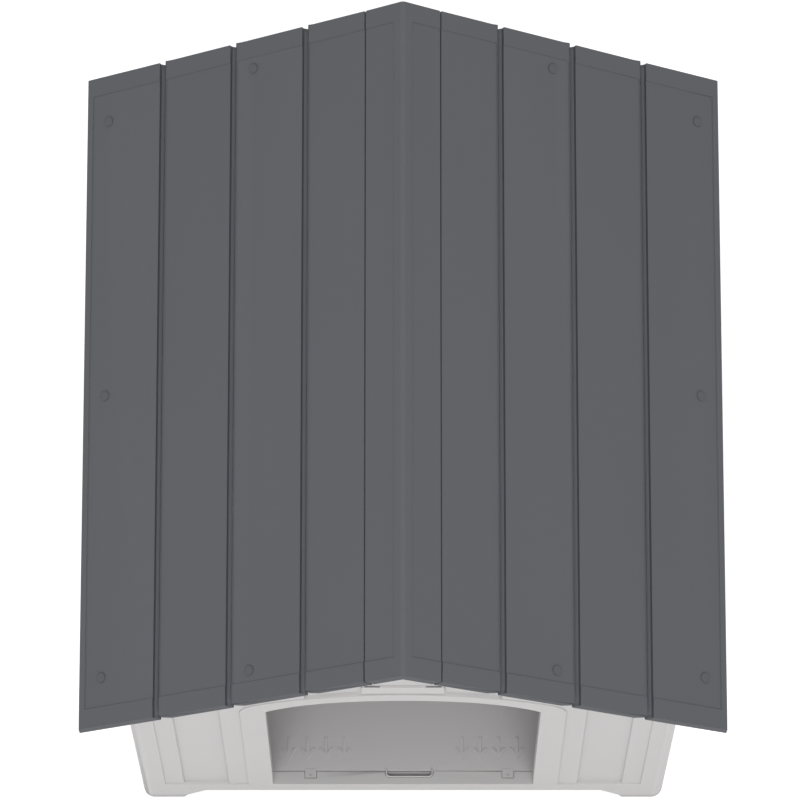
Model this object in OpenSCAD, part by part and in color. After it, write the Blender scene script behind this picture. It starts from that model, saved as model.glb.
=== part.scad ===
// Gabled dog house, built from moulded wall, floor and roof panels.
// Sizes in millimetres. The origin is at the middle of the base on the ground,
// the doorway faces -Y, Z is up.

/* [Roof] */
// Width of the roof across both eaves
roof_w = 740; // [732:1:750]
// Length of the roof
roof_len = 778.8; // [774:0.4:786]
// Rise from the top of the eaves to the sharp line of the ridge
roof_rise = 283.4; // [278:0.2:290]
// Height of the sharp line of the ridge above the ground
ridge_z = 807.2; // [803:0.2:812]
// Upright thickness of the roof panels
roof_t = 20.6; // [20:0.2:22.6]
// Rounding of the outer top edge of each eave
eave_r = 3.5; // [2:0.5:4]
// Rounding along the ridge
crest_r = 5; // [3:0.5:7]

/* [Roof planks] */
// Width in plan of the plank along the eave
eave_plank = 86.8; // [85:0.2:88]
// Distance in plan between neighbouring grooves
plank_w = 84; // [83:0.2:85]
// Number of grooves on each roof panel
plank_n = 3; // [3:1:3]
// Half width in plan of the ridge cap, to the middle of its joint
cap_half = 43.2; // [41:0.2:45]
// Width in plan of a groove between planks
groove_w = 6.9; // [5.5:0.1:7.5]
// Drop of a groove from the plank edge on its eave side
groove_drop = 8; // [6.5:0.1:8.4]
// Length of the open slot at each end of a groove
slot_len = 4; // [3:0.5:6]
// How far each wall of an open slot stands inside its groove
slot_side = 0.4; // [0.3:0.1:0.6]
// Distance from a groove to the step on the underside
step_in = 11.5; // [10:0.5:13]
// Height of the step on the underside
step_h = 10; // [8:0.5:10.5]
// Width of the slope behind the step on the underside
step_w = 11; // [9:0.5:13]
// Gap between the ridge cap and each roof panel
cap_gap = 1.6; // [1.2:0.1:2]
// Width in plan of the lap that carries the ridge cap
lap_w = 12; // [11:0.5:13]
// Gap between the edges of a lap and the ridge cap
lap_gap = 3; // [2:0.5:4]
// Distance of the laps from the ends of the roof
lap_end = 20; // [16:1:26]

/* [Roof surface] */
// Drop of the plank fields below their border
sheet_drop = 1.2; // [0.8:0.1:1.8]
// Width of the border at the front ends of the planks
border_front = 22.6; // [18:0.2:25]
// Width of the border at the back ends of the planks
border_back = 21.7; // [18:0.2:25]
// Width of the border along each eave
border_eave = 6.7; // [5:0.1:8]
// Half width of the border along the ridge
border_ridge = 10; // [8:0.5:13]

/* [Roof pins] */
// Distance of the eave pins from the edge of the eave
eave_pin_in = 26; // [24.5:0.5:27.5]
// Distance of the end pins from the ends of the eave
eave_pin_end = 56.6; // [53:0.2:59]
// Distance in plan from the ridge to the gable pins
gable_pin_x = 171.8; // [165:0.2:177]
// Diameter of a pin head
pin_head_d = 12; // [11:0.5:14]
// Height of a pin head
pin_head_h = 1.8; // [1.4:0.1:2.2]
// Bevel of a pin head
pin_bevel = 0.6; // [0.3:0.1:0.8]
// Diameter of a pin shank
pin_d = 5; // [4.6:0.2:5.6]
// Length of a pin shank
pin_len = 27; // [25:0.5:29]
// Length of the pointed end of a pin
pin_tip = 5; // [3:0.5:6]
// Diameter of the flat at the end of a pin
pin_tip_d = 3.4; // [2.4:0.2:4]
// Depth of a pin hole beyond the end of its pin
pin_room = 1.5; // [1:0.5:3]

/* [Walls] */
// Overhang of the roof in front of and behind the walls
gable_out = 27.3; // [25:0.1:29]
// Overhang of each eave beside the walls
eave_out = 51.4; // [50:0.2:55]
// Thickness of the walls
wall_t = 16.6; // [16:0.2:18]
// Rounding of the upright corners in plan
corner_r = 14; // [12:1:18]
// How far the front and back walls wrap round the corners
return_len = 80; // [76:1:84]
// Length of the lap between a side wall and a return
tongue_len = 14; // [12:1:16]
// Height of the wall skirt above the ground between the feet
skirt_z = 41.2; // [40:0.2:44]
// Length of the sole of each foot along the wall
foot_len = 50.6; // [46:0.2:54]
// Height of the blunt inner end of a foot
toe_h = 13.5; // [11:0.5:16]
// Length of the blunt inner end of a foot
toe_len = 4.5; // [3:0.5:6]
// Length of the slope from a foot up to the skirt
foot_run = 23; // [20:0.5:27]
// Depth of the out-turned flange under each eave
flange_w = 41; // [39:1:45]
// Upright thickness of the flange
flange_t = 9; // [8:0.5:12]
// How far the flange runs past the end pins
flange_past = 11.5; // [11:0.5:14]
// Diameter of the bosses that take the eave pins
boss_d = 20; // [18:1:22]
// Depth of the bosses under the roof
boss_h = 15; // [14:0.5:18]

/* [Wall panelling] */
// Width of the plain border at the upright edges
border_w = 29.6; // [26:0.1:32]
// Width of the raised strip next to the border
strip_w = 23; // [21:0.1:25]
// Width of the sunk field beside the doorway
field_w = 54.4; // [51:0.2:57]
// Half width of the sunk field over the doorway
crown_field = 112; // [106:1:115]
// Height of the bottom of the panelling above the ground
panel_z = 77; // [75:0.5:80]
// Depth of the strips below the border
strip_d = 1.6; // [1.2:0.1:2]
// Depth of the fields below the border
field_d = 5; // [4.4:0.1:5.6]
// Half width of the plain strips on the back wall
back_strip = 22; // [20:1:24]
// Number of sunk fields on a side wall
side_fields = 4; // [3:1:5]
// Plain length of a side wall at each end
side_border = 14; // [12:1:18]
// Width of the strips on a side wall
side_strip = 24; // [20:1:28]
// Height of the plain band over the panelling on a side wall
side_top_in = 61; // [54:1:70]

/* [Doorway] */
// Half width of the doorway
door_half = 157.8; // [155:0.2:159]
// Height of the sill above the ground
sill_z = 76; // [75:0.5:77]
// Height of the crown of the doorway above the ground
door_top = 552.5; // [550:0.5:555]
// Radius of the crown of the doorway
door_crown_r = 285; // [280:1:292]
// Half width of the crown arc of the doorway
door_crown = 72; // [68:1:74]
// Radius of the shoulders of the doorway
door_side_r = 177; // [174:1:180]
// Width of the raised frame beside the doorway
frame_side = 30; // [28.5:0.5:31]
// Width of the raised frame over the doorway
frame_over = 27.5; // [26:0.5:29]
// Radius of the crown of the frame
frame_crown_r = 283; // [278:1:292]
// Half width of the crown arc of the frame
frame_crown = 167; // [164:1:172]

/* [Plate over the doorway] */
// Width of the plain plate
plate_w = 94; // [90:0.5:100]
// Height of the plain plate
plate_h = 30.5; // [28:0.5:31]
// Gap between the plate and the frame under it
plate_gap = 0.6; // [0.4:0.1:1.2]
// How far the plate stands out from its field
plate_out = 2.8; // [2.2:0.1:3.2]
// Depth of the pocket that holds the plate
plate_seat = 2; // [1.6:0.1:2.6]
// Rounding of the corners of the plate
plate_r = 3; // [2:0.5:4]
// Width of the slots in the top edge of the plate
slot_w = 17.5; // [15:0.5:20]
// Distance of the slots from the ends of the plate
slot_in = 3.5; // [3:0.5:6]
// Depth of the slots along the wall normal
slot_t = 1.3; // [1:0.1:1.6]
// Depth of the slots below the top edge
slot_h = 8; // [6:0.5:10]
// Thickness of the skin in front of the slots
slot_skin = 0.8; // [0.7:0.1:1]

/* [Floor] */
// Thickness of the floor panel
floor_t = 22; // [21:0.5:23]
// Width of the plain rim round the underside of the floor
floor_rim = 34; // [30:1:40]
// Number of stiffening channels under the floor
channel_n = 8; // [6:1:10]
// Width of a stiffening channel
channel_w = 18; // [14:1:22]
// Depth of a stiffening channel
channel_d = 5; // [3:0.5:6]
// Gap between the floor and the walls
floor_gap = 1; // [0.8:0.1:1.4]
// Width of the ledges that carry the floor
ledge_w = 20; // [18:1:22]
// Sideways offset of the pull loop and the tabs from the middle
pull_x = 7.6; // [5:0.2:10]
// Width of the pull loop
loop_w = 58.4; // [55:0.2:62]
// Thickness of the bead of the pull loop
bead_w = 2.6; // [2.2:0.1:3]
// Height of the bead above the floor
bead_h = 1.6; // [1.2:0.1:2]
// Depth of the bead below the top of the floor
bead_d = 3; // [2.6:0.1:3.6]
// Reach of the pull loop over the sill
loop_out = 7.8; // [7.4:0.1:8.2]
// Rounding of the outer corners of the pull loop
loop_r = 6; // [5:0.5:7]
// Length of the bead on top of the floor
bead_back = 2.4; // [2:0.1:3]
// Distance between the middles of the two tabs
tab_span = 240; // [234:1:246]
// Width of a tab
tab_w = 13.4; // [12:0.2:15]
// Reach of a tab over the sill
tab_out = 8; // [7:0.1:8.6]
// Length of the raised pad of a tab on the floor
tab_back = 2; // [1.6:0.1:2.6]
// Height of a tab pad above the floor
tab_h = 0.5; // [0.4:0.1:1]
// Thickness of a tab below the top of the floor
tab_t = 3; // [2.6:0.1:3.6]
// Diameter of the dimple in a tab
dimple_d = 3; // [2:0.2:4]
// Depth of the dimple in a tab
dimple_h = 1.6; // [1:0.1:2]
// Clear gap round the pull loop and the tabs
pull_gap = 0.5; // [0.4:0.1:0.7]
// Depth of the finger pocket in the sill
pocket_h = 7; // [6.5:0.5:9]

/* [Marks on the floor] */
// Number of arrows in each group
arrow_n = 4; // [3:1:5]
// Width of an arrow
arrow_w = 16; // [14:0.5:17]
// Length of an arrow
arrow_len = 28.5; // [26:0.5:31]
// Length of the head of an arrow
arrow_head = 12; // [10:0.5:13]
// Width of the strokes
arrow_line = 4; // [3.4:0.1:4.4]
// Distance between the middles of neighbouring arrows
arrow_pitch = 22.4; // [20:0.2:24]
// Distance from the middle of the floor to the middle of a group
arrow_x = 105; // [100:1:110]
// Distance of the arrow points from the front edge of the floor
arrow_in = 12.5; // [11:0.5:15]
// Height of the arrows above the floor
arrow_h = 0.8; // [0.5:0.1:1]

/* [Screws] */
// Height of the lowest corner screws above the ground
screw_z = 120; // [110:1:130]
// Distance between the corner screws of a joint
screw_pitch = 160; // [140:1:165]
// Number of screws in each corner joint
screw_n = 3; // [3:1:3]
// Diameter of a screw head
head_d = 8; // [7.4:0.2:8.6]
// Height of a screw head
head_h = 2.6; // [2.2:0.1:2.8]
// Diameter of a screw shank
shank_d = 3.6; // [3:0.1:4]
// Length of a screw shank
shank_len = 9; // [8.5:0.1:9.4]
// Width of the drive slot in a screw head
drive_w = 1.2; // [1:0.1:1.4]
// Depth of the drive slot in a screw head
drive_h = 1.2; // [1:0.1:1.4]
// Depth of the counterbores for the screw heads
bore_h = 3.2; // [3:0.1:3.4]
// Distance between the screws along each ridge joint
cap_screw_pitch = 250; // [230:5:260]
// Height of the head seats above the sloping underside of the ridge joint
cap_seat = 4.5; // [4.2:0.1:5]

/* [Fits] */
// Clear gap round pins and screws
clear = 0.3; // [0.3:0.05:0.4]
// Open seam between neighbouring wall panels
seam = 0.6; // [0.5:0.1:1]

/* [Hidden] */
// Overrun of the cutting shapes
over = 1;
// Overrun of the cutting shapes that pass right through the house
through = 900;

slope = roof_rise / (roof_w / 2);
pitch = atan(slope);
eave_z = ridge_z - roof_rise;
end_y = roof_len / 2;
wall_x = roof_w / 2 - eave_out;
wall_y = roof_len / 2 - gable_out;
in_x = wall_x - wall_t;
in_y = wall_y - wall_t;
half_t = wall_t / 2;
side_end = wall_y - return_len - seam;
tongue_end = wall_y - return_len + tongue_len - seam;
ledge_z = sill_z - floor_t;
floor_x = in_x - floor_gap;
floor_y = in_y - floor_gap;
joint_x = [for (i = [0 : plank_n - 1]) roof_w / 2 - eave_plank - i * plank_w];
cap_x = cap_half - cap_gap / 2;
panel_x = cap_half + cap_gap / 2;
lap_edge = panel_x - roof_t * sin(pitch) * cos(pitch);
lap_x = lap_edge - lap_w;
lap_mid = lap_edge - lap_w / 2;
lap_y = end_y - lap_end;
recess_x = wall_x - border_w;
field_out = recess_x - strip_w;
field_in = field_out - field_w;
eave_pin_x = roof_w / 2 - eave_pin_in;
eave_pin_span = roof_len - 2 * eave_pin_end;
flange_span = eave_pin_span + 2 * flange_past;
gable_pin_y = wall_y - half_t;
flange_x = wall_x + flange_w;
side_len = 2 * (side_end - side_border);
side_field = (side_len - (side_fields + 1) * side_strip) / side_fields;
frame_half = door_half + frame_side;
frame_top = door_top + frame_over;
plate_z = frame_top + plate_gap;
side_top = under_z(wall_x) - flange_t - side_top_in;
pull_y = -in_y - loop_out;
tab_y = -in_y - tab_out;

// Share of the groove width and drop at the bend in the groove
bend_w_share = 0.3;
bend_h_share = 0.66;
// Share of the roof thickness below the lap joint of the cap
lap_share = 0.5;
// Share of the pocket depth where its slope ends
scoop_share = 0.6;

$fn = 48;

front_wall();
back_wall();
left_wall();
right_wall();
floor_panel();
roof_left();
roof_right();
ridge_cap();
blank_plate();
eave_pins();
gable_pins();
corner_screws();
cap_screws();

// Heights of the top and the underside of the roof at a distance x from the ridge
function top_z(x) = eave_z + (roof_w / 2 - x) * slope;
function under_z(x) = top_z(x) - roof_t;
// Point s along the slope towards the ridge from x and d deep, square to the roof
function slope_point(x, s, d) = [
    x - s * cos(pitch) - d * sin(pitch),
    top_z(x) + s * sin(pitch) - d * cos(pitch)
];

// Stands a shape drawn in X and Z upright, from y0 to y1
module upright(y0, y1) {
    translate([0, y1, 0])
        rotate([90, 0, 0])
            linear_extrude(y1 - y0)
                children();
}

// Stands a shape drawn in Y and Z upright, from x0 to x1
module sideways(x0, x1) {
    translate([x0, 0, 0])
        rotate([90, 0, 90])
            linear_extrude(x1 - x0)
                children();
}

// Repeats a piece on both sides of the middle plane
module both_sides() {
    children();
    mirror([1, 0, 0])
        children();
}

// Repeats a piece at the front and at the back
module both_ends() {
    children();
    mirror([0, 1, 0])
        children();
}

// Places a piece on the right roof slope, depth measured down from the top plane
module on_slope(x, y, drop) {
    translate([x, y, top_z(x) - drop])
        rotate([0, pitch, 0])
            children();
}

// Outline of a strip of roof between x0 near the ridge and x1 near the eave
module roof_strip_2d(x0, x1, top_drop, bottom_drop) {
    polygon([
        [x0, top_z(x0) - top_drop],
        [x1, top_z(x1) - top_drop],
        [x1, top_z(x1) - bottom_drop],
        [x0, top_z(x0) - bottom_drop]
    ]);
}

// Groove between two planks, cut from above
module groove_2d(x) {
    bend_w = groove_w * bend_w_share;
    bend_h = groove_drop * bend_h_share;
    polygon([
        [x + over * bend_w / bend_h, top_z(x) + over],
        [x - bend_w, top_z(x) - bend_h],
        [x - groove_w, top_z(x) - groove_drop],
        [x - groove_w, top_z(x - groove_w) + over]
    ]);
}

// Slot square to the roof between the ends of two planks
module end_slot_2d(x) {
    w = groove_w / cos(pitch) - slot_side;
    d = roof_t * cos(pitch);
    polygon([
        slope_point(x, slot_side, -over),
        slope_point(x, w, -over),
        slope_point(x, w, d + over),
        slope_point(x, slot_side, d + over)
    ]);
}

// Step under the lower edge of a plank, cut from below
module step_2d(x) {
    xs = x - step_in;
    xe = xs - step_w;
    fall = (under_z(xs) + step_h - under_z(xe)) / step_w;
    polygon([
        [xs, under_z(xs) + step_h],
        [xe - over, under_z(xe) - over * fall],
        [xe - over, under_z(xe) - over],
        [xs, under_z(xs) - over]
    ]);
}

// Corner taken off the outer top edge of the eave
module eave_round_2d() {
    xc = roof_w / 2 - eave_r;
    zc = top_z(xc) - eave_r / cos(pitch);
    difference() {
        polygon([
            [xc, zc],
            [xc + eave_r * sin(pitch), zc + eave_r * cos(pitch)],
            [xc + eave_r * sin(pitch), zc + eave_r * cos(pitch) + over],
            [xc + eave_r + over, zc + eave_r * cos(pitch) + over],
            [xc + eave_r + over, zc]
        ]);
        translate([xc, zc])
            circle(eave_r);
    }
}

// Sunk surface of the planks between x0 and x1
module sheet_cut(x0, x1) {
    upright(border_front - end_y, end_y - border_back)
        roof_strip_2d(x0, x1, -over, sheet_drop);
}

// Three-centred arch from z0 upwards
module arch_2d(half_w, z0, z1, crown_r, crown_half, side_r) {
    s = crown_half / crown_r;
    c = sqrt(1 - s * s);
    hx = (crown_r - side_r) * s;
    hz = z1 - crown_r + (crown_r - side_r) * c;
    intersection() {
        union() {
            intersection() {
                translate([0, z1 - crown_r])
                    circle(crown_r, $fn = 180);
                translate([-crown_half, z1 - crown_r])
                    square([2 * crown_half, crown_r + over]);
            }
            for (side = [-1, 1])
                translate([side * hx, hz])
                    circle(side_r, $fn = 120);
            translate([-half_w, z0])
                square([2 * half_w, hz - z0]);
        }
        translate([-half_w, z0])
            square([2 * half_w, z1 - z0 + over]);
    }
}

// Opening of the doorway
module doorway_2d(z0) {
    arch_2d(door_half, z0, door_top, door_crown_r, door_crown, door_side_r);
}

// Outline of the raised frame round the doorway
module frame_2d() {
    s = frame_crown / frame_crown_r;
    side_r = (frame_half - frame_crown) / (1 - s);
    arch_2d(frame_half, skirt_z, frame_top, frame_crown_r, frame_crown, side_r);
}

// Space under the roof that the walls may fill
module under_roof_2d() {
    polygon([
        [-roof_w / 2, -over],
        [roof_w / 2, -over],
        [roof_w / 2, under_z(roof_w / 2)],
        [0, under_z(0)],
        [-roof_w / 2, under_z(roof_w / 2)]
    ]);
}

// Plan of the ring of walls with rounded outer corners
module wall_ring_2d() {
    difference() {
        outer_plan_2d();
        square([2 * in_x, 2 * in_y], center = true);
    }
}

module outer_plan_2d() {
    square([2 * (wall_x - corner_r), 2 * wall_y], center = true);
    square([2 * wall_x, 2 * (wall_y - corner_r)], center = true);
    for (sx = [-1, 1], sy = [-1, 1])
        translate([sx * (wall_x - corner_r), sy * (wall_y - corner_r)])
            circle(corner_r);
}

// Space under the skirt between two feet, half_l from the middle to a foot
module skirt_gap_2d(half_l) {
    top_l = half_l - toe_len - foot_run;
    polygon([
        [-half_l, -over],
        [half_l, -over],
        [half_l, 0],
        [half_l - toe_len, toe_h],
        [top_l, skirt_z],
        [-top_l, skirt_z],
        [toe_len - half_l, toe_h],
        [-half_l, 0]
    ]);
}

// Pilot holes and clearance holes of the screws in one corner joint
module corner_holes(depth) {
    for (i = [0 : screw_n - 1])
        translate([wall_x - half_t + depth, joint_y(), screw_z + i * screw_pitch])
            rotate([0, -90, 0])
                cylinder(h = depth + half_t + over, d = shank_d + 2 * clear);
}

function joint_y() = tongue_end - tongue_len / 2;

// Front or back wall before its face is worked, drawn for the front
module end_wall() {
    difference() {
        intersection() {
            union() {
                linear_extrude(through)
                    intersection() {
                        wall_ring_2d();
                        translate([-wall_x - over, -wall_y - over])
                            square([2 * (wall_x + over), return_len + over]);
                    }
                foot_blocks();
                translate([-in_x, -in_y - over, skirt_z])
                    cube([2 * in_x, ledge_w + over, ledge_z - skirt_z]);
            }
            upright(-wall_y - over, wall_y)
                under_roof_2d();
        }
        upright(-wall_y - over, -in_y + ledge_w + over)
            skirt_gap_2d(wall_x - foot_len);
        sideways(-wall_x - over, wall_x + over)
            skirt_gap_2d(wall_y - foot_len);
        both_sides()
            tongue_room();
        both_sides()
            mirror([0, 1, 0])
                corner_holes(shank_len - half_t + bore_h + pin_room);
        both_sides()
            on_slope(gable_pin_x, -gable_pin_y, sheet_drop)
                translate([0, 0, -pin_len - pin_room])
                    cylinder(h = pin_len + pin_room + over, d = pin_d + 2 * clear);
    }
}

// Solid blocks of the two feet under an end wall
module foot_blocks() {
    linear_extrude(ledge_z)
        intersection() {
            outer_plan_2d();
            for (side = [-1, 1])
                translate([side * (wall_x - foot_len / 2), -wall_y + foot_len / 2])
                    square([foot_len, foot_len], center = true);
        }
}

// Room for the tongue of a side wall in the return of an end wall
module tongue_room() {
    translate([in_x - over, -tongue_end - seam, skirt_z - over])
        cube([half_t + over, return_len, through]);
}

// Panelling sunk into the face of an end wall
module end_panelling() {
    upright(-wall_y - over, -wall_y + strip_d)
        panelled_2d(recess_x);
    upright(-wall_y - over, -wall_y + field_d)
        both_sides_2d()
            translate([field_in, panel_z])
                square([field_out - field_in, through]);
}

module both_sides_2d() {
    children();
    mirror([1, 0])
        children();
}

module panelled_2d(half_w) {
    translate([-half_w, panel_z])
        square([2 * half_w, through]);
}

module front_wall() {
    color([0.77, 0.77, 0.77])
        difference() {
            end_wall();
            difference() {
                end_panelling();
                upright(-wall_y - 2 * over, -wall_y + wall_t)
                    frame_2d();
            }
            upright(-wall_y - over, -wall_y + field_d)
                difference() {
                    translate([-crown_field, sill_z])
                        square([2 * crown_field, through]);
                    frame_2d();
                }
            upright(-wall_y - over, -in_y + over)
                doorway_2d(sill_z);
            plate_pocket();
            pull_pocket();
            tab_pockets();
        }
}

module back_wall() {
    color([0.77, 0.77, 0.77])
        mirror([0, 1, 0])
            difference() {
                end_wall();
                end_panelling();
                upright(-wall_y - over, -wall_y + field_d)
                    back_fields_2d();
            }
}

// Sunk fields of the back wall between its plain strips
module back_fields_2d() {
    translate([-crown_field, panel_z])
        square([2 * crown_field, through]);
    both_sides_2d()
        translate([crown_field + back_strip, panel_z])
            square([field_in - crown_field - 2 * back_strip, through]);
}

// Pocket for the plain plate
module plate_pocket() {
    translate([0, -wall_y + field_d + plate_seat, plate_z + plate_h / 2])
        plate_block(plate_w + 2 * clear, plate_h + 2 * clear, field_d + plate_seat + over,
                    plate_r + clear);
}

// Rounded block standing out from y = 0 towards -Y
module plate_block(w, h, t, r) {
    rotate([90, 0, 0])
        linear_extrude(t) {
            square([w - 2 * r, h], center = true);
            square([w, h - 2 * r], center = true);
            for (sx = [-1, 1], sz = [-1, 1])
                translate([sx * (w / 2 - r), sz * (h / 2 - r)])
                    circle(r);
        }
}

module blank_plate() {
    color([0.78, 0.78, 0.78])
        difference() {
            translate([0, -wall_y + field_d + plate_seat, plate_z + plate_h / 2])
                plate_block(plate_w, plate_h, plate_out + plate_seat, plate_r);
            for (side = [-1, 1])
                translate([side * (plate_w / 2 - slot_in - slot_w / 2),
                           -wall_y + field_d - plate_out + slot_skin + slot_t / 2,
                           plate_z + plate_h - slot_h / 2 + over / 2])
                    cube([slot_w, slot_t, slot_h + over], center = true);
        }
}

// Outline in plan of the pull loop, grown by g
module loop_2d(g) {
    w = loop_w / 2 + g;
    r = loop_r + g;
    translate([-w, pull_y - g + r])
        square([2 * w, loop_out + bead_back + floor_gap - r + 2 * g]);
    translate([-w + r, pull_y - g])
        square([2 * (w - r), r + over]);
    for (side = [-1, 1])
        translate([side * (w - r), pull_y - g + r])
            circle(r);
}

// Finger pocket in the sill under and behind the pull loop
module pull_pocket() {
    translate([pull_x, 0, 0])
        intersection() {
            translate([0, 0, sill_z - pocket_h])
                linear_extrude(pocket_h + over)
                    loop_2d(pull_gap);
            sideways(-loop_w, loop_w)
                polygon([
                    [pull_y - over, sill_z + over],
                    [pull_y - over, sill_z - pocket_h],
                    [pull_y + bead_w + pull_gap, sill_z - pocket_h],
                    [-in_y + over, sill_z - pocket_h * scoop_share],
                    [-in_y + over, sill_z + over]
                ]);
        }
}

// Notches in the sill for the two tabs of the floor
module tab_pockets() {
    for (side = [-1, 1])
        translate([pull_x + side * tab_span / 2 - tab_w / 2 - pull_gap, tab_y - pull_gap,
                   sill_z - tab_t - pull_gap])
            cube([tab_w + 2 * pull_gap, tab_out + pull_gap + over, tab_t + pull_gap + over]);
}

// Side wall on the right
module side_wall() {
    difference() {
        intersection() {
            union() {
                sideways(in_x, wall_x)
                    translate([-side_end, skirt_z])
                        square([2 * side_end, through]);
                sideways(in_x, wall_x - half_t)
                    translate([-tongue_end, skirt_z])
                        square([2 * tongue_end, through]);
                translate([in_x - ledge_w, -side_end, skirt_z])
                    cube([ledge_w + over, 2 * side_end, ledge_z - skirt_z]);
                upright(-flange_span / 2, flange_span / 2)
                    roof_strip_2d(wall_x + clear, flange_x, roof_t - over, roof_t + flange_t);
                upright(-side_end, side_end)
                    roof_strip_2d(wall_x - half_t, wall_x + over, roof_t - over, roof_t + flange_t);
                eave_bosses();
            }
            upright(-wall_y, wall_y)
                under_roof_2d();
        }
        eave_pin_holes();
        side_panelling();
        both_ends()
            corner_holes(over);
        both_ends()
            corner_counterbores();
    }
}

// Bosses under the flange for the eave pins
module eave_bosses() {
    for (i = [-1, 0, 1])
        on_slope(eave_pin_x, i * eave_pin_span / 2, roof_t)
            translate([0, 0, -boss_h])
                cylinder(h = boss_h + over, d = boss_d);
}

module eave_pin_holes() {
    for (i = [-1, 0, 1])
        on_slope(eave_pin_x, i * eave_pin_span / 2, sheet_drop)
            translate([0, 0, -pin_len - pin_room])
                cylinder(h = pin_len + pin_room + over, d = pin_d + 2 * clear);
}

// Panelling sunk into the face of a side wall
module side_panelling() {
    sideways(wall_x - strip_d, wall_x + over)
        translate([-side_len / 2, panel_z])
            square([side_len, side_top - panel_z]);
    sideways(wall_x - field_d, wall_x + over)
        for (i = [0 : side_fields - 1])
            translate([-side_len / 2 + side_strip + i * (side_field + side_strip), panel_z])
                square([side_field, side_top - panel_z]);
}

// Counterbores for the heads of the corner screws
module corner_counterbores() {
    for (i = [0 : screw_n - 1])
        translate([in_x - over, joint_y(), screw_z + i * screw_pitch])
            rotate([0, 90, 0])
                cylinder(h = bore_h + over, d = head_d + 2 * clear);
}

module right_wall() {
    color([0.77, 0.77, 0.77])
        side_wall();
}

module left_wall() {
    color([0.77, 0.77, 0.77])
        mirror([1, 0, 0])
            side_wall();
}

// Outline of the roof panel, with its edge beside the ridge cap cut square to the roof
module roof_panel_2d() {
    polygon([
        [panel_x, top_z(panel_x)],
        [roof_w / 2, top_z(roof_w / 2)],
        [roof_w / 2, under_z(roof_w / 2)],
        [lap_edge, under_z(lap_edge)]
    ]);
}

// Roof panel on the right, with its lap under the ridge cap
module roof_panel() {
    difference() {
        union() {
            upright(-end_y, end_y)
                difference() {
                    roof_panel_2d();
                    eave_round_2d();
                    for (x = joint_x) {
                        groove_2d(x);
                        step_2d(x);
                    }
                }
            upright(-lap_y, lap_y)
                roof_strip_2d(lap_x, panel_x, roof_t * lap_share, roof_t);
        }
        both_ends()
            upright(end_y - slot_len, end_y + over)
                for (x = joint_x)
                    end_slot_2d(x);
        sheet_cut(panel_x - over, roof_w / 2 - border_eave);
        eave_pin_holes();
        both_ends()
            on_slope(gable_pin_x, -gable_pin_y, sheet_drop)
                translate([0, 0, -pin_len])
                    cylinder(h = pin_len + over, d = pin_d + 2 * clear);
        cap_screw_places() {
            cylinder(h = shank_len, d = shank_d + 2 * clear);
            translate([0, 0, -2 * cap_seat])
                cylinder(h = 2 * cap_seat, d = head_d + 2 * clear);
        }
    }
}

// Places pieces at the head seats of the screws under the right ridge joint
module cap_screw_places() {
    for (i = [-1, 0, 1])
        translate([lap_mid, i * cap_screw_pitch, under_z(lap_mid) + cap_seat])
            children();
}

module roof_right() {
    color([0.376, 0.384, 0.4])
        roof_panel();
}

module roof_left() {
    color([0.376, 0.384, 0.4])
        mirror([1, 0, 0])
            roof_panel();
}

// Half of the ridge cap on the right, its edge cut square to the roof down to the depth d
module cap_half_2d(d) {
    polygon([
        [0, top_z(0)],
        [cap_x, top_z(cap_x)],
        slope_point(cap_x, 0, d),
        [0, top_z(0) - d / cos(pitch)]
    ]);
}

// Sharp top of the ridge, cut away above its rounding
module crest_2d() {
    zc = top_z(0) - crest_r / cos(pitch);
    difference() {
        polygon([
            [0, zc],
            [crest_r * sin(pitch), zc + crest_r * cos(pitch)],
            [crest_r * sin(pitch), top_z(0) + over],
            [-crest_r * sin(pitch), top_z(0) + over],
            [-crest_r * sin(pitch), zc + crest_r * cos(pitch)]
        ]);
        translate([0, zc])
            circle(crest_r);
    }
}

// Outline of the ridge cap between and beside the laps of the roof panels
module cap_body_2d() {
    both_sides_2d() {
        cap_half_2d(roof_t * lap_share * cos(pitch));
        roof_strip_2d(0, lap_x - lap_gap, 0, roof_t);
    }
}

module ridge_cap() {
    color([0.376, 0.384, 0.4])
        difference() {
            union() {
                upright(-end_y, end_y)
                    cap_body_2d();
                both_ends()
                    upright(lap_y + lap_gap, end_y)
                        both_sides_2d()
                            cap_half_2d(roof_t * cos(pitch));
            }
            upright(-end_y - over, end_y + over)
                crest_2d();
            both_sides()
                sheet_cut(border_ridge, cap_x + over);
            both_sides()
                cap_screw_places()
                    cylinder(h = shank_len + pin_room, d = shank_d + 2 * clear);
        }
}

// Pin with its head resting on z = 0 and its shank pointing down
module roof_pin() {
    cylinder(h = pin_head_h - pin_bevel, d = pin_head_d);
    translate([0, 0, pin_head_h - pin_bevel])
        cylinder(h = pin_bevel, d1 = pin_head_d, d2 = pin_head_d - 2 * pin_bevel);
    translate([0, 0, -pin_len + pin_tip])
        cylinder(h = pin_len - pin_tip, d = pin_d);
    translate([0, 0, -pin_len])
        cylinder(h = pin_tip, d1 = pin_tip_d, d2 = pin_d);
}

module eave_pins() {
    color([0.36, 0.37, 0.385])
        both_sides()
            for (i = [-1, 0, 1])
                on_slope(eave_pin_x, i * eave_pin_span / 2, sheet_drop)
                    roof_pin();
}

module gable_pins() {
    color([0.36, 0.37, 0.385])
        both_sides()
            both_ends()
                on_slope(gable_pin_x, -gable_pin_y, sheet_drop)
                    roof_pin();
}

// Screw with the underside of its head on z = 0 and its shank pointing up
module screw() {
    difference() {
        translate([0, 0, -head_h])
            cylinder(h = head_h, d = head_d);
        translate([0, 0, -head_h])
            cube([head_d + over, drive_w, 2 * drive_h], center = true);
    }
    cylinder(h = shank_len, d = shank_d);
}

module corner_screws() {
    color([0.62, 0.63, 0.65])
        both_sides()
            both_ends()
                for (i = [0 : screw_n - 1])
                    translate([in_x + bore_h, joint_y(), screw_z + i * screw_pitch])
                        rotate([0, 90, 0])
                            screw();
}

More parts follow.
